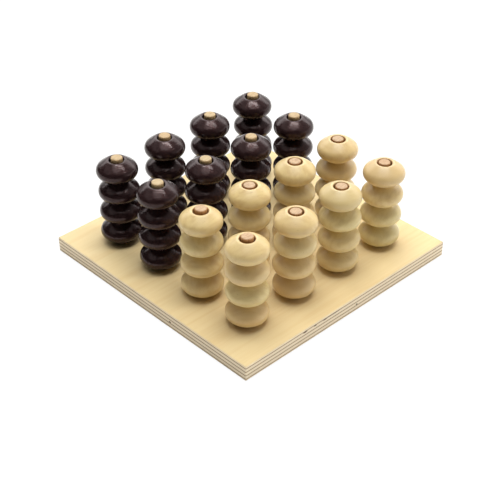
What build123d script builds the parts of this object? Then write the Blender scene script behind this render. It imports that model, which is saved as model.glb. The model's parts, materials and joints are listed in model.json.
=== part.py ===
from build123d import *
import os

# Four in a row in three dimensions. Sixteen dowel pegs stand four by four on a plywood
# board, and four turned wooden beads are threaded on each peg: stained dark on the two
# back rows, left pale on the two front rows.
# Millimetres. The board's underside is at Z = 0 and centred on the origin.
# X runs along the columns a to d, and Y from row 4, at the front, back to row 1.

# Board: birch plywood with its edges just broken
board_thickness = 12.0
board_arris = 0.5

# Peg grid, centred on the board, and the board's margin outside the outer pegs
column_letters = "abcd"
dark_rows = (1, 2)
peg_pitch = 44.3
board_margin = 33.55

# Pegs: lengths of dowel with rounded ends, glued into blind holes
peg_diameter = 8.5
peg_seat = 8.0
peg_glue_gap = 0.05
peg_proud = 2.0
peg_end_rounding = 0.9

# These pegs are driven further in, so that they end level with their top bead
deep_pegs = ("b3", "c3", "d3", "b4", "c4", "d4")
deep_extra = 1.5

# Beads: a narrow rounded equator, gently domed shoulders and a flat land round the bore,
# whose two edges are both rounded over
beads_per_peg = 4
bead_diameter = 30.0
bead_height = 16.9
bore_diameter = 10.5
equator_rounding = 5.5
equator_half_angle = 50.0
land_width = 0.9
land_rounding = 1.5
bore_rim_rounding = 0.9

# The two lowest beads of these stacks, hidden behind the others, share one node each
paired_stacks = ("b1", "c1", "d1", "b2", "c2", "d2")

# Sizes that follow
pegs_per_side = len(column_letters)
board_side = (pegs_per_side - 1) * peg_pitch + 2 * board_margin
peg_length = peg_seat + beads_per_peg * bead_height + peg_proud
equator_centre = bead_diameter / 2 - equator_rounding
land_inner = bore_diameter / 2 + bore_rim_rounding
land_outer = land_inner + land_width


def peg_place(name):
    """X and Y of a peg from its column letter and row number."""
    column, row = name
    x = (column_letters.index(column) - (pegs_per_side - 1) / 2) * peg_pitch
    y = ((pegs_per_side + 1) / 2 - int(row)) * peg_pitch
    return x, y


def save(part, name):
    part.label = name
    export_step(part, f"parts/{name}.step")


rows = range(1, pegs_per_side + 1)
peg_names = [column + str(row) for row in rows for column in column_letters]
full_pegs = [peg_place(name) for name in peg_names if name not in deep_pegs]
low_pegs = [peg_place(name) for name in deep_pegs]
peg_depths = ((full_pegs, peg_seat), (low_pegs, peg_seat + deep_extra))

os.makedirs("parts", exist_ok=True)

# Board: a square panel with sixteen blind holes drilled from above
with BuildPart() as board:
    with BuildSketch():
        Rectangle(board_side, board_side)
    extrude(amount=board_thickness)
    chamfer(board.edges(), board_arris)
    for places, depth in peg_depths:
        with Locations(Plane.XY.offset(board_thickness)):
            with Locations(*places):
                Hole(peg_diameter / 2 + peg_glue_gap, depth=depth)
save(board.part, "board")

# Pegs: all of one length, standing on the floors of their holes
with BuildPart() as pegs:
    for places, depth in peg_depths:
        with BuildSketch(Plane.XY.offset(board_thickness - depth)):
            with Locations(*places):
                Circle(peg_diameter / 2)
        extrude(amount=peg_length)
    fillet(pegs.edges().filter_by(GeomType.CIRCLE), peg_end_rounding)
save(pegs.part, "pegs")

# One turned bead about its own centre: the upper half of its section is mirrored, the
# corners outside and inside the lands are rounded, and the section is spun
with BuildPart() as turned_bead:
    with BuildSketch(Plane.XZ) as section:
        with BuildLine():
            equator = CenterArc((equator_centre, 0), equator_rounding, 0, equator_half_angle)
            shoulder = TangentArc(
                (equator @ 1, (land_outer, bead_height / 2)), tangent=equator % 1
            )
            Polyline(
                shoulder @ 1,
                (bore_diameter / 2, bead_height / 2),
                (bore_diameter / 2, 0),
            )
            mirror(about=Plane.XZ)
        make_face()
        fillet(section.vertices().group_by(Axis.X)[1], land_rounding)
        fillet(section.vertices().group_by(Axis.X)[0], bore_rim_rounding)
    revolve(axis=Axis.Z)

# The stacks: levels count up from the board, and each bead lies on the one below it
for stack in peg_names:
    x, y = peg_place(stack)
    colour = "dark" if int(stack[1]) in dark_rows else "pale"
    levels = [(level,) for level in range(1, beads_per_peg + 1)]
    if stack in paired_stacks:
        levels[:2] = [(1, 2)]
    for group in levels:
        beads = []
        for level in group:
            with BuildPart() as bead:
                with Locations((x, y, board_thickness + (level - 0.5) * bead_height)):
                    add(turned_bead.part)
            beads.append(bead.part)
        if len(beads) == 1:
            save(beads[0], f"{colour}_bead_{stack}_{group[0]}")
        else:
            save(Compound(children=beads), f"{colour}_bead_pair_{stack}")
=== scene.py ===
import json
import math
import bpy
from mathutils import Matrix, Vector

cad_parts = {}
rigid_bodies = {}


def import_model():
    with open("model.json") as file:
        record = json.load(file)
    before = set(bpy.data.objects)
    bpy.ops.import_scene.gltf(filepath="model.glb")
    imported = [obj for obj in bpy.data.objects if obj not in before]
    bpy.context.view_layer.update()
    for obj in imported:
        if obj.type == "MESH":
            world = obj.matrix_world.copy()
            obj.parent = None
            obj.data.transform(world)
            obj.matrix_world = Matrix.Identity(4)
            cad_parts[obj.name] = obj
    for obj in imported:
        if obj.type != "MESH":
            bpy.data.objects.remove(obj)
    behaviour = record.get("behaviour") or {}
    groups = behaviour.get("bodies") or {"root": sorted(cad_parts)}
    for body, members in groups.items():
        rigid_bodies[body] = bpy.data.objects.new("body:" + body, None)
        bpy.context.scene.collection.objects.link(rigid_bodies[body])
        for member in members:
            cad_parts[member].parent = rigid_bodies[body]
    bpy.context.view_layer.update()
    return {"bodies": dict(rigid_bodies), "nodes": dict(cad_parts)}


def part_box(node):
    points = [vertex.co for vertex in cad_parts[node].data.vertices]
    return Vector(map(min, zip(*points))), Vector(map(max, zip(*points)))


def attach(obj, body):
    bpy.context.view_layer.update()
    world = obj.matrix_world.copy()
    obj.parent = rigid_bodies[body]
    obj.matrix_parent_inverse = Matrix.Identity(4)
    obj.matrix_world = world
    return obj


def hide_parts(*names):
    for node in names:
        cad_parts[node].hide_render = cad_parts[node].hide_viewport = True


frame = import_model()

scene = bpy.context.scene
mm = 0.001

# Sizes from the frame
boardLow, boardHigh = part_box("board")
pegLow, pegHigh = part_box("pegs")
beadBodies = [body for body in frame["bodies"] if body != "board"]
beadHeight = min(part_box(body)[1].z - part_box(body)[0].z for body in beadBodies)
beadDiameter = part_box(beadBodies[0])[1].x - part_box(beadBodies[0])[0].x
stackPlaces = [sum(corner.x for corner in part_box(body)) / 2 for body in beadBodies]
columns = len({round(x / mm) for x in stackPlaces})
pegPitch = (max(stackPlaces) - min(stackPlaces)) / (columns - 1)
pegDiameter = pegHigh.x - pegLow.x - (columns - 1) * pegPitch
print("sizes in mm: pitch %.2f, bead %.2f by %.2f, peg %.2f"
      % (pegPitch / mm, beadDiameter / mm, beadHeight / mm, pegDiameter / mm))


# Small helpers. In the functions of each piece, s is its own dictionary of values
def hexColor(text):
    parts = [int(text[i:i + 2], 16) / 255 for i in (1, 3, 5)]
    return [p / 12.92 if p <= 0.04045 else ((p + 0.055) / 1.055) ** 2.4 for p in parts] + [1.0]


def addNode(tree, kind, settings=None, inputs=None):
    node = tree.nodes.new(kind)
    for name, value in (settings or {}).items():
        setattr(node, name, value)
    for name, value in (inputs or {}).items():
        if isinstance(value, bpy.types.NodeSocket):
            tree.links.new(value, node.inputs[name])
        else:
            node.inputs[name].default_value = value
    return node


def newMaterial(name):
    material = bpy.data.materials.new(name)
    material.use_nodes = True
    material.node_tree.nodes.clear()
    return material, material.node_tree


def mathNode(tree, operation, first, second=0.0, clamp=False):
    return addNode(tree, "ShaderNodeMath", {"operation": operation, "use_clamp": clamp},
                   {0: first, 1: second}).outputs[0]


def vectorNode(tree, operation, first, second=(0.0, 0.0, 0.0)):
    return addNode(tree, "ShaderNodeVectorMath", {"operation": operation}, {0: first, 1: second}).outputs[0]


def lengthNode(tree, vector):
    return addNode(tree, "ShaderNodeVectorMath", {"operation": "LENGTH"}, {0: vector}).outputs["Value"]


def noiseNode(tree, place, size, detail=2.0, roughness=0.5, distortion=0.0):
    return addNode(tree, "ShaderNodeTexNoise", inputs={
        "Vector": place, "Scale": 1 / size, "Detail": detail, "Roughness": roughness,
        "Distortion": distortion}).outputs["Fac"]


def bumpNode(tree, height, strength, depth):
    return addNode(tree, "ShaderNodeBump", inputs={
        "Strength": strength, "Distance": depth, "Height": height}).outputs[0]


def mixColor(tree, factor, first, second):
    return addNode(tree, "ShaderNodeMix", {"data_type": "RGBA"}, {0: factor, 6: first, 7: second}).outputs[2]


def ramp(tree, value, low, high, outLow=0.0, outHigh=1.0):
    return addNode(tree, "ShaderNodeMapRange", {"interpolation_type": "SMOOTHSTEP"},
                   {0: value, 1: low, 2: high, 3: outLow, 4: outHigh}).outputs[0]


def setMaterial(thing, material):
    thing.data.materials.clear()
    thing.data.materials.append(material)


# Camera, from the board's corners and the peg tops in the picture
cameraSettings = {
    "azimuth": -43.309,
    "elevation": 35.383,
    "roll": -0.295,
    "distance": 0.90877,
    "aim": (0.0057, 0.01691, 0.0),
    "focalPixels": 1210.8,
    "frameWidth": 480,
    "sensorWidth": 36.0,
    "clip": (0.05, 20.0),
}


def makeCamera(s):
    around, rise, roll = (math.radians(s[name]) for name in ("azimuth", "elevation", "roll"))
    back = Vector((math.sin(around) * math.cos(rise), -math.cos(around) * math.cos(rise), math.sin(rise)))
    level = Vector((math.cos(around), math.sin(around), 0.0))
    upright = back.cross(level)
    right = math.cos(roll) * level + math.sin(roll) * upright
    up = math.cos(roll) * upright - math.sin(roll) * level
    data = bpy.data.cameras.new("camera")
    data.sensor_width = s["sensorWidth"]
    data.lens = s["focalPixels"] / s["frameWidth"] * s["sensorWidth"]
    data.clip_start, data.clip_end = s["clip"]
    camera = bpy.data.objects.new("camera", data)
    place = Vector(s["aim"]) + back * s["distance"]
    camera.matrix_world = Matrix((right, up, back)).transposed().to_4x4()
    camera.matrix_world.translation = place
    scene.collection.objects.link(camera)
    scene.camera = camera


makeCamera(cameraSettings)
print("camera placed")

# Beads: one turned section spun round the bore by Geometry Nodes and set on its peg
beadShape = {
    "diameter": beadDiameter,
    "height": beadHeight,
    "bore": 10.5 * mm,
    "equatorRounding": 5.5 * mm,
    "equatorHalfAngle": 50.0,
    "landWidth": 0.9 * mm,
    "landRounding": 1.5 * mm,
    "rimRounding": 0.9 * mm,
    "seatGap": 0.01 * mm,          # keeps the faces of stacked beads apart
    "equatorSteps": 12,
    "shoulderSteps": 7,
    "landSteps": 4,
    "rimSteps": 4,
    "turns": 72,
    "play": 0.35 * mm,             # how far a bead may sit off its peg's axis
    "seed": 11,
}


def arcPoints(centre, radius, start, end, steps):
    angles = [start + (end - start) * i / steps for i in range(steps + 1)]
    return [(centre[0] + radius * math.cos(a), centre[1] + radius * math.sin(a)) for a in angles]


def beadSection(s):
    half = s["height"] / 2 - s["seatGap"]
    rounding, angle = s["equatorRounding"], math.radians(s["equatorHalfAngle"])
    boreRadius = s["bore"] / 2
    landIn = boreRadius + s["rimRounding"]
    landOut = landIn + s["landWidth"]
    equatorCentre = (s["diameter"] / 2 - rounding, 0.0)
    upper = arcPoints(equatorCentre, rounding, 0.0, angle, s["equatorSteps"] // 2)
    # the shoulder's arc leaves the equator's arc along its tangent and heads for the land's corner
    start, corner = Vector(upper[-1]), Vector((landOut, half))
    inward = Vector((-math.cos(angle), -math.sin(angle)))
    chord = corner - start
    shoulderRadius = chord.length_squared / (2 * chord.dot(inward))
    centre = start + inward * shoulderRadius
    # a small arc, tangent to the shoulder and to the flat land, rounds that corner
    corner = s["landRounding"]
    rise = half - corner - centre.y
    across = math.sqrt((shoulderRadius - corner) ** 2 - rise ** 2)
    turn = math.atan2(rise, across)
    upper += arcPoints(centre, shoulderRadius, angle, turn, s["shoulderSteps"])[1:]
    upper += arcPoints((centre.x + across, half - corner), corner, turn, math.pi / 2, s["landSteps"])[1:]
    rimCentre = (landIn, half - s["rimRounding"])
    upper += arcPoints(rimCentre, s["rimRounding"], math.pi / 2, math.pi, s["rimSteps"])
    lower = [(r, -z) for r, z in reversed(upper[1:])]
    return lower + upper


def makeBeadTree():
    tree = bpy.data.node_groups.new("turnedBeads", "GeometryNodeTree")
    sockets = [("Section", "NodeSocketGeometry"), ("Lathe Radius", "NodeSocketFloat"),
               ("Turns", "NodeSocketInt"), ("Beads", "NodeSocketInt"), ("Bead Height", "NodeSocketFloat"),
               ("Lowest Centre", "NodeSocketVector"), ("Play", "NodeSocketFloat"), ("Seed", "NodeSocketInt"),
               ("Material", "NodeSocketMaterial")]
    for name, kind in sockets:
        tree.interface.new_socket(name, in_out="INPUT", socket_type=kind)
    tree.interface.new_socket("Beads", in_out="OUTPUT", socket_type="NodeSocketGeometry")
    given = addNode(tree, "NodeGroupInput").outputs
    section = addNode(tree, "GeometryNodeMeshToCurve", inputs={"Mesh": given["Section"]})
    ring = addNode(tree, "GeometryNodeCurvePrimitiveCircle",
                   inputs={"Resolution": given["Turns"], "Radius": given["Lathe Radius"]})
    upright = addNode(tree, "GeometryNodeSetCurveNormal", {"mode": "Z_UP"}, {"Curve": ring.outputs["Curve"]})
    spun = addNode(tree, "GeometryNodeCurveToMesh",
                   inputs={"Curve": upright.outputs[0], "Profile Curve": section.outputs[0]})
    smooth = addNode(tree, "GeometryNodeSetShadeSmooth", inputs={"Geometry": spun.outputs[0]})
    step = addNode(tree, "ShaderNodeCombineXYZ", inputs={"Z": given["Bead Height"]})
    places = addNode(tree, "GeometryNodeMeshLine",
                     inputs={"Count": given["Beads"], "Start Location": given["Lowest Centre"],
                             "Offset": step.outputs[0]})
    most = addNode(tree, "ShaderNodeCombineXYZ", inputs={"X": given["Play"], "Y": given["Play"]})
    least = addNode(tree, "ShaderNodeVectorMath", {"operation": "SCALE"},
                    {0: most.outputs[0], "Scale": -1.0})
    shift = addNode(tree, "FunctionNodeRandomValue", {"data_type": "FLOAT_VECTOR"},
                    {0: least.outputs[0], 1: most.outputs[0], "Seed": given["Seed"]})
    loose = addNode(tree, "GeometryNodeSetPosition",
                    inputs={"Geometry": places.outputs[0], "Offset": shift.outputs[0]})
    stacked = addNode(tree, "GeometryNodeInstanceOnPoints",
                      inputs={"Points": loose.outputs[0], "Instance": smooth.outputs[0]})
    real = addNode(tree, "GeometryNodeRealizeInstances", inputs={"Geometry": stacked.outputs[0]})
    done = addNode(tree, "GeometryNodeSetMaterial",
                   inputs={"Geometry": real.outputs[0], "Material": given["Material"]})
    addNode(tree, "NodeGroupOutput", inputs={"Beads": done.outputs[0]})
    return tree


def makeBeads(body, tree, s, material, seed):
    low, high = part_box(body)
    count = round((high.z - low.z) / s["height"])
    lowest = Vector(((low.x + high.x) / 2, (low.y + high.y) / 2, low.z + s["height"] / 2))
    # the section is swept along a circle halfway between the axis and the equator
    latheRadius = s["diameter"] / 4
    points = beadSection(s)
    wire = bpy.data.meshes.new("section")
    loop = [(i, (i + 1) % len(points)) for i in range(len(points))]
    wire.from_pydata([(r - latheRadius, z, 0.0) for r, z in points], loop, [])
    former = bpy.data.objects.new("former", wire)
    scene.collection.objects.link(former)
    modifier = former.modifiers.new("turned", "NODES")
    modifier.node_group = tree
    values = {"Lathe Radius": latheRadius, "Turns": s["turns"], "Beads": count, "Bead Height": s["height"],
              "Lowest Centre": lowest, "Play": s["play"], "Seed": seed, "Material": material}
    for item in tree.interface.items_tree:
        if item.in_out == "INPUT" and item.name in values:
            modifier[item.identifier] = values[item.name]
    graph = bpy.context.evaluated_depsgraph_get()
    mesh = bpy.data.meshes.new_from_object(former.evaluated_get(graph))
    bpy.data.objects.remove(former)
    mesh.name = body + "_turned"
    piece = bpy.data.objects.new(body + "_turned", mesh)
    scene.collection.objects.link(piece)
    return piece


# Materials: every bead has its own tone and its own grain, told apart by the cell it lies in at rest
# A bead's cell gives the place within it, and one and three random numbers for that bead
def beadCell(tree):
    place = addNode(tree, "ShaderNodeTexCoord").outputs["Object"]
    size = (pegPitch, pegPitch, beadHeight)
    corner = (-columns / 2 * pegPitch, -columns / 2 * pegPitch, boardHigh.z)
    cells = vectorNode(tree, "DIVIDE", vectorNode(tree, "SUBTRACT", place, corner), size)
    cell = vectorNode(tree, "FLOOR", cells)
    centred = vectorNode(tree, "SUBTRACT", vectorNode(tree, "SUBTRACT", cells, cell), (0.5,) * 3)
    local = vectorNode(tree, "MULTIPLY", centred, size)
    chance = addNode(tree, "ShaderNodeTexWhiteNoise", {"noise_dimensions": "3D"}, {"Vector": cell})
    return local, chance.outputs["Value"], chance.outputs["Color"]


def beadGrain(tree, s):
    local, chance, three = beadCell(tree)
    turn = mathNode(tree, "MULTIPLY", chance, 2 * math.pi)
    turned = addNode(tree, "ShaderNodeVectorRotate", {"rotation_type": "Z_AXIS"},
                     {"Vector": local, "Angle": turn}).outputs[0]
    long = vectorNode(tree, "MULTIPLY", vectorNode(tree, "ADD", turned, three), (s["stretch"], 1.0, 1.0))
    return local, three, long


# Maple, turned and tumbled in clear lacquer: a soft broad shine on the domes over calm, creamy wood
paleBead = {
    "light": "#DCC689",
    "dark": "#CDB277",
    "grey": "#C9BC88",
    "rosy": "#D1AB78",
    "pore": "#A88A58",
    "greyShare": 0.65,             # how far single beads differ in tone
    "rosyShare": 0.6,
    "stretch": 0.12,
    "grainWidth": 3.5 * mm,
    "grainNoise": (3.0, 0.55),     # detail and roughness
    "grainRange": (0.35, 0.7),     # of the noise, from light wood to dark
    "poreWidth": 0.45 * mm,
    "poreDetail": 1.0,
    "poreRange": (0.68, 0.76),
    "poreShare": 0.5,
    "turningMarks": 0.6 * mm,
    "markStretch": (0.05, 0.05, 1.0),
    "markShare": 0.3,
    "bump": 0.25,
    "bumpDepth": 0.05 * mm,
    "boreShadeReach": (0.1 * mm, 0.8 * mm),
    "boreShadeShare": 0.75,
    "boreShade": "#9A6C3C",        # painted shade: a darker ring round the bore, standing in for the shade in the gap round the peg
    "roughness": 0.45,
    "specular": 0.2,
    "coat": 0.7,
    "coatRoughness": 0.28,
}


def makePaleBead(s):
    material, tree = newMaterial("lacqueredTurnedMaple")
    local, three, long = beadGrain(tree, s)
    bands = noiseNode(tree, long, s["grainWidth"], *s["grainNoise"])
    pores = noiseNode(tree, long, s["poreWidth"], s["poreDetail"])
    wood = mixColor(tree, ramp(tree, bands, *s["grainRange"]), hexColor(s["light"]), hexColor(s["dark"]))
    tone = addNode(tree, "ShaderNodeSeparateColor", inputs={0: three}).outputs
    wood = mixColor(tree, mathNode(tree, "MULTIPLY", tone[1], s["greyShare"]), wood, hexColor(s["grey"]))
    wood = mixColor(tree, mathNode(tree, "MULTIPLY", tone[2], s["rosyShare"]), wood, hexColor(s["rosy"]))
    spots = ramp(tree, pores, *s["poreRange"], 0.0, s["poreShare"])
    wood = mixColor(tree, spots, wood, hexColor(s["pore"]))
    radius = lengthNode(tree, vectorNode(tree, "MULTIPLY", local, (1.0, 1.0, 0.0)))
    inner, outer = [beadShape["bore"] / 2 + reach for reach in s["boreShadeReach"]]
    # painted shade: the colour darkens towards the bore, where the gap round the peg lies in shade
    paintedBoreShade = ramp(tree, radius, inner, outer, s["boreShadeShare"], 0.0)
    wood = mixColor(tree, paintedBoreShade, wood, hexColor(s["boreShade"]))
    marks = noiseNode(tree, vectorNode(tree, "MULTIPLY", local, s["markStretch"]), s["turningMarks"])
    relief = mathNode(tree, "SUBTRACT", mathNode(tree, "MULTIPLY", marks, s["markShare"]), spots)
    bump = bumpNode(tree, relief, s["bump"], s["bumpDepth"])
    shader = addNode(tree, "ShaderNodeBsdfPrincipled", inputs={
        "Base Color": wood, "Roughness": s["roughness"], "Specular IOR Level": s["specular"],
        "Coat Weight": s["coat"], "Coat Roughness": s["coatRoughness"], "Normal": bump})
    addNode(tree, "ShaderNodeOutputMaterial", inputs={"Surface": shader.outputs[0]})
    return material


# The same maple under dark stain and gloss: plum black, its raised grain breaks the glints into small ones
darkBead = {
    "light": "#2C1E1E",
    "dark": "#1F1213",
    "stretch": 0.1,
    "grainWidth": 1.4 * mm,
    "grainNoise": (4.0, 0.6),
    "grainRange": (0.35, 0.68),
    "poreWidth": 0.7 * mm,
    "poreShare": 0.15,             # of the relief, beside the crinkle
    "roughness": 0.24,
    "specular": 0.17,
    "sheen": "#FFB0AA",            # the stain tints what the wood under the gloss reflects
    "crinkle": 1.4 * mm,           # raised grain, under the gloss
    "crinkleNoise": (3.0, 0.55),
    "bump": 1.0,
    "bumpDepth": 0.11 * mm,
    "coat": 0.35,
    "coatRoughness": 0.04,
}


def makeDarkBead(s):
    material, tree = newMaterial("stainedTurnedMaple")
    long = beadGrain(tree, s)[-1]
    bands = noiseNode(tree, long, s["grainWidth"], *s["grainNoise"])
    pores = noiseNode(tree, long, s["poreWidth"])
    wood = mixColor(tree, ramp(tree, bands, *s["grainRange"]), hexColor(s["light"]), hexColor(s["dark"]))
    crinkle = noiseNode(tree, long, s["crinkle"], *s["crinkleNoise"])
    relief = mathNode(tree, "ADD", crinkle, mathNode(tree, "MULTIPLY", pores, s["poreShare"]))
    bump = bumpNode(tree, relief, s["bump"], s["bumpDepth"])
    shader = addNode(tree, "ShaderNodeBsdfPrincipled", inputs={
        "Base Color": wood, "Roughness": s["roughness"], "Coat Weight": s["coat"],
        "Coat Roughness": s["coatRoughness"], "Specular IOR Level": s["specular"],
        "Specular Tint": hexColor(s["sheen"]), "Normal": bump, "Coat Normal": bump})
    addNode(tree, "ShaderNodeOutputMaterial", inputs={"Surface": shader.outputs[0]})
    return material


# Birch plywood, sawn and sanded: a matt creamy face with faint streaks, and edges striped by its nine plies,
# of which four are darker cross plies
plywood = {
    "face": "#DCC696",
    "faceDark": "#D3B784",
    "plyLight": "#F0E1C6",
    "plyDark": "#AE9470",
    "crossShare": 0.3,             # what a cross ply, end grain on, takes of each pair of plies
    "crossCentre": 0.25,           # its middle within the pair
    "void": "#4A3320",
    # open ends of cross plies in mm: edge, place along it, height, half length and half height
    "voids": [
        ("front", -45.3, 9.9, 2.2, 0.65),
        ("front", -35.6, 10.1, 1.6, 0.6),
        ("front", -26.0, 10.0, 2.4, 0.55),
        ("front", -17.5, 10.2, 9.0, 0.32),
        ("front", 5.9, 5.5, 1.0, 0.55),
        ("left", -25.5, 5.5, 1.2, 0.5),
    ],
    "voidRange": (0.75, 1.05),     # of the distance, from open to solid
    "raggedness": 1.2,
    "plies": 9,
    "faceVeneer": 0.85 * mm,
    "plyBorder": 0.04,             # softness of a cross ply's borders
    "wander": 1 / 35,              # metres over which the plies dip and rise, and how far they do
    "wanderDepth": 0.35 * mm,
    "facing": (0.6, 0.8),          # uprightness of the normal, from edge to face
    "grainWidth": 5.0 * mm,
    "grainNoise": (5.0, 0.6, 0.3),    # detail, roughness and distortion
    "grainRange": (0.35, 0.75),
    "grainShare": 0.6,
    "fibre": 0.5 * mm,
    "fibreRange": (0.55, 0.75),
    "fibreShare": 0.2,
    "edgeFibreDetail": 3.0,
    "edgeFibreRange": (0.55, 0.8),
    "edgeFibreShare": 0.3,
    "stretch": 0.05,
    "bump": 0.3,
    "bumpDepth": 0.05 * mm,
    "roughness": 0.5,
    "specular": 0.15,
}


def makePlywood(s):
    material, tree = newMaterial("sandedBirchPlywood")
    place = addNode(tree, "ShaderNodeTexCoord").outputs["Object"]
    facing = addNode(tree, "ShaderNodeTexCoord").outputs["Normal"]
    parts = addNode(tree, "ShaderNodeSeparateXYZ", inputs={0: place}).outputs
    upward = addNode(tree, "ShaderNodeSeparateXYZ", inputs={0: facing}).outputs[2]
    isFace = ramp(tree, mathNode(tree, "ABSOLUTE", upward), *s["facing"])

    # face veneer, its grain along X
    long = vectorNode(tree, "MULTIPLY", place, (s["stretch"], 1.0, 1.0))
    figure = noiseNode(tree, long, s["grainWidth"], *s["grainNoise"])
    fibre = noiseNode(tree, long, s["fibre"])
    streaks = ramp(tree, figure, *s["grainRange"], 0.0, s["grainShare"])
    face = mixColor(tree, streaks, hexColor(s["face"]), hexColor(s["faceDark"]))
    darker = ramp(tree, fibre, *s["fibreRange"], 0.0, s["fibreShare"])
    face = mixColor(tree, darker, face, hexColor(s["faceDark"]))

    # edge: ply number counted up from the face veneer
    innerPly = (boardHigh.z - 2 * s["faceVeneer"]) / (s["plies"] - 2)
    wander = mathNode(tree, "SUBTRACT", noiseNode(tree, place, s["wander"]), 0.5)
    height = mathNode(tree, "ADD", parts[2], mathNode(tree, "MULTIPLY", wander, s["wanderDepth"]))
    count = mathNode(tree, "DIVIDE", mathNode(tree, "SUBTRACT", height, s["faceVeneer"]), 2 * innerPly)
    within = mathNode(tree, "SUBTRACT", mathNode(tree, "FRACT", count), s["crossCentre"])
    within = mathNode(tree, "ABSOLUTE", within)
    crossPly = ramp(tree, within, s["crossShare"] / 2 + s["plyBorder"], s["crossShare"] / 2 - s["plyBorder"])
    edgeFibre = noiseNode(tree, place, s["fibre"], s["edgeFibreDetail"])
    edge = mixColor(tree, crossPly, hexColor(s["plyLight"]), hexColor(s["plyDark"]))
    darker = ramp(tree, edgeFibre, *s["edgeFibreRange"], 0.0, s["edgeFibreShare"])
    edge = mixColor(tree, darker, edge, hexColor(s["plyDark"]))
    rough = mathNode(tree, "MULTIPLY", mathNode(tree, "SUBTRACT", edgeFibre, 0.5), s["raggedness"])
    for side, along, high, halfLong, halfHigh in s["voids"]:
        if side == "front":
            centre, reach = (along * mm, boardLow.y, high * mm), (halfLong * mm, mm, halfHigh * mm)
        else:
            centre, reach = (boardLow.x, along * mm, high * mm), (mm, halfLong * mm, halfHigh * mm)
        away = vectorNode(tree, "SUBTRACT", place, centre)
        far = lengthNode(tree, vectorNode(tree, "DIVIDE", away, reach))
        opened = ramp(tree, mathNode(tree, "ADD", far, rough), *s["voidRange"], 1.0, 0.0)
        edge = mixColor(tree, opened, edge, hexColor(s["void"]))
    shader = addNode(tree, "ShaderNodeBsdfPrincipled", inputs={
        "Base Color": mixColor(tree, isFace, edge, face), "Roughness": s["roughness"],
        "Specular IOR Level": s["specular"], "Normal": bumpNode(tree, fibre, s["bump"], s["bumpDepth"])})
    addNode(tree, "ShaderNodeOutputMaterial", inputs={"Surface": shader.outputs[0]})
    return material


# Beech dowel, sawn and tumbled: dull orange sides with straight grain, paler end grain on the rounded top
dowel = {
    "side": "#BE8A55",
    "sideDark": "#99683A",
    "end": "#BFA481",
    "endDark": "#A88769",
    "backSide": "#B69D73",         # the eight pegs at the back are of a creamier length of dowel
    "backSideDark": "#9D8153",
    "backEnd": "#BAA781",
    "backEndDark": "#A69068",
    "spread": 0.35,                # how far single pegs differ in tone
    "tan": "#B98A5C",
    "stretch": 0.06,
    "fibre": 0.6 * mm,
    "fibreDetail": 3.0,
    "rings": 0.9 * mm,
    "ringStretch": (0.25, 1.0, 0.1),
    "streakRange": (0.4, 0.7),
    "facing": (0.5, 0.85),
    "bump": 0.3,
    "bumpDepth": 0.08 * mm,
    "roughness": 0.65,
}


def makeDowel(s):
    material, tree = newMaterial("sawnBeechDowel")
    place = addNode(tree, "ShaderNodeTexCoord").outputs["Object"]
    facing = addNode(tree, "ShaderNodeTexCoord").outputs["Normal"]
    upward = addNode(tree, "ShaderNodeSeparateXYZ", inputs={0: facing}).outputs[2]
    isEnd = ramp(tree, mathNode(tree, "ABSOLUTE", upward), *s["facing"])
    long = vectorNode(tree, "MULTIPLY", place, (1.0, 1.0, s["stretch"]))
    fibre = noiseNode(tree, long, s["fibre"], s["fibreDetail"])
    rings = noiseNode(tree, vectorNode(tree, "MULTIPLY", place, s["ringStretch"]), s["rings"])
    depth = addNode(tree, "ShaderNodeSeparateXYZ", inputs={0: place}).outputs[1]
    back = mathNode(tree, "GREATER_THAN", depth, 0.0)
    side, end = [
        mixColor(tree, back,
                 mixColor(tree, streaks, hexColor(s[front]), hexColor(s[front + "Dark"])),
                 mixColor(tree, streaks, hexColor(s[rear]), hexColor(s[rear + "Dark"])))
        for streaks, front, rear in ((ramp(tree, fibre, *s["streakRange"]), "side", "backSide"),
                                     (ramp(tree, rings, *s["streakRange"]), "end", "backEnd"))]
    cell = vectorNode(tree, "FLOOR", vectorNode(tree, "DIVIDE", place, (pegPitch, pegPitch, 1.0)))
    chance = addNode(tree, "ShaderNodeTexWhiteNoise", {"noise_dimensions": "3D"}, {"Vector": cell})
    tanned = mathNode(tree, "MULTIPLY", chance.outputs["Value"], s["spread"])
    wood = mixColor(tree, tanned, mixColor(tree, isEnd, side, end), hexColor(s["tan"]))
    shader = addNode(tree, "ShaderNodeBsdfPrincipled", inputs={
        "Base Color": wood, "Roughness": s["roughness"],
        "Normal": bumpNode(tree, fibre, s["bump"], s["bumpDepth"])})
    addNode(tree, "ShaderNodeOutputMaterial", inputs={"Surface": shader.outputs[0]})
    return material


setMaterial(frame["nodes"]["board"], makePlywood(plywood))
setMaterial(frame["nodes"]["pegs"], makeDowel(dowel))
print("board and pegs finished")

finishes = {"pale": makePaleBead(paleBead), "dark": makeDarkBead(darkBead)}
beadTree = makeBeadTree()
for number, body in enumerate(beadBodies):
    colour = body.split("_")[0]
    piece = makeBeads(body, beadTree, beadShape, finishes[colour], beadShape["seed"] + number)
    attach(piece, body)
    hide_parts(body)
print("beads turned:", len(beadBodies))

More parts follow.
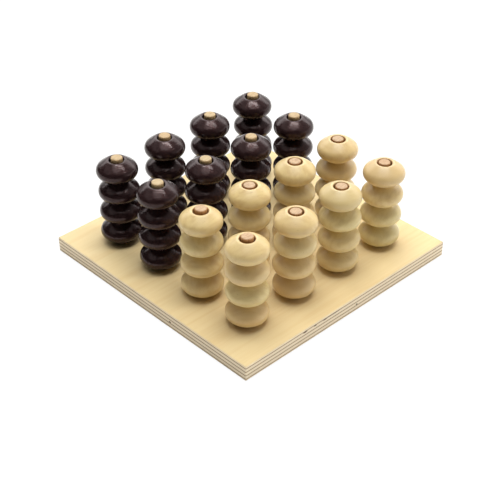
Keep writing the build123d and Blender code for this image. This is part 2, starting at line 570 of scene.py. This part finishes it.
# Stage: a white floor in a light tent that is bright overhead and behind. The panels were first fitted to
# the shading of the beads in the photograph, and then set by comparison with it, like the strip lamp
stage = {
    "floorSize": 6.0,
    "floorWhite": "#F2F1EE",
    "cameraWhite": 0.88,       # how much of the floor is plain white to the camera
    "floorGlow": 1.06,
    "cameraBackdrop": 1.0,
    "surround": 0.04,
    "softness": 0.02,          # of the panels' borders
    # the tent's panels: turn from the camera to the right, half width, lowest and highest angle, brightness
    "panels": [
        (0.0, 180.0, 69.0, 90.0, 2.8),
        (180.0, 54.0, 18.0, 72.0, 2.85),
        (180.0, 45.0, 0.0, 18.0, 0.7),
        (90.0, 45.0, 0.0, 18.0, 1.4),
        (90.0, 45.0, 18.0, 66.0, 0.4),
        (-90.0, 45.0, 42.0, 66.0, 0.6),
    ],
    # a strip lamp overhead, lying across the view, whose reflection makes the glints below the pegs
    "strip": {"power": 5.4, "size": (0.12, 0.8), "turn": 90.0, "height": 84.0, "distance": 1.2},
}


# A direction from the board, by its angle round from the camera towards the right and its height
def direction(turn, height):
    around, up = math.radians(cameraSettings["azimuth"] + turn), math.radians(height)
    return Vector((math.sin(around) * math.cos(up), -math.cos(around) * math.cos(up), math.sin(up)))


def addPanel(tree, toward, height, s, panel):
    turn, halfWidth, low, high, glow = panel
    soft = s["softness"]
    if low > 0.0:
        edge = math.sin(math.radians(low))
        glow = mathNode(tree, "MULTIPLY", glow, ramp(tree, height, edge - soft, edge + soft))
    if high < 90.0:
        edge = math.sin(math.radians(high))
        glow = mathNode(tree, "MULTIPLY", glow, ramp(tree, height, edge - soft, edge + soft, 1.0, 0.0))
    if halfWidth < 180.0:
        unit = vectorNode(tree, "NORMALIZE", vectorNode(tree, "MULTIPLY", toward, (1.0, 1.0, 0.0)))
        along = addNode(tree, "ShaderNodeVectorMath", {"operation": "DOT_PRODUCT"},
                        {0: unit, 1: tuple(direction(turn, 0.0))}).outputs["Value"]
        edge = math.cos(math.radians(halfWidth))
        glow = mathNode(tree, "MULTIPLY", glow, ramp(tree, along, edge - 2 * soft, edge + 2 * soft))
    return glow


def makeStage(s):
    half = s["floorSize"] / 2
    mesh = bpy.data.meshes.new("floor")
    corners = [(-half, -half, 0), (half, -half, 0), (half, half, 0), (-half, half, 0)]
    mesh.from_pydata(corners, [], [(0, 1, 2, 3)])
    floor = bpy.data.objects.new("floor", mesh)
    scene.collection.objects.link(floor)
    material, tree = newMaterial("whiteSweep")
    pureWhite = (1.0, 1.0, 1.0, 1.0)
    plain = addNode(tree, "ShaderNodeBsdfDiffuse", inputs={"Color": hexColor(s["floorWhite"])})
    glow = addNode(tree, "ShaderNodeEmission", inputs={"Color": pureWhite, "Strength": s["floorGlow"]})
    seen = addNode(tree, "ShaderNodeLightPath").outputs["Is Camera Ray"]
    share = mathNode(tree, "MULTIPLY", seen, s["cameraWhite"])
    both = addNode(tree, "ShaderNodeMixShader", inputs={0: share, 1: plain.outputs[0], 2: glow.outputs[0]})
    addNode(tree, "ShaderNodeOutputMaterial", inputs={"Surface": both.outputs[0]})
    setMaterial(floor, material)

    world = bpy.data.worlds.new("surround")
    world.use_nodes = True
    tree = world.node_tree
    tree.nodes.clear()
    toward = addNode(tree, "ShaderNodeTexCoord").outputs["Generated"]
    height = addNode(tree, "ShaderNodeSeparateXYZ", inputs={0: toward}).outputs[2]
    glowing = s["surround"]
    for panel in s["panels"]:
        glowing = mathNode(tree, "ADD", addPanel(tree, toward, height, s, panel), glowing)
    lit = addNode(tree, "ShaderNodeBackground", inputs={"Color": pureWhite, "Strength": glowing})
    blank = addNode(tree, "ShaderNodeBackground",
                    inputs={"Color": pureWhite, "Strength": s["cameraBackdrop"]})
    camera = addNode(tree, "ShaderNodeLightPath").outputs["Is Camera Ray"]
    both = addNode(tree, "ShaderNodeMixShader", inputs={0: camera, 1: lit.outputs[0], 2: blank.outputs[0]})
    addNode(tree, "ShaderNodeOutputWorld", inputs={"Surface": both.outputs[0]})
    scene.world = world

    strip = s["strip"]
    lamp = bpy.data.lights.new("strip", "AREA")
    lamp.shape = "RECTANGLE"
    lamp.size, lamp.size_y = strip["size"]
    lamp.energy = strip["power"]
    light = bpy.data.objects.new("strip", lamp)
    aim = direction(strip["turn"], strip["height"])
    light.location = aim * strip["distance"]
    light.rotation_euler = aim.to_track_quat("Z", "Y").to_euler()
    scene.collection.objects.link(light)


makeStage(stage)
scene.view_settings.view_transform = "Standard"
print("stage lit")
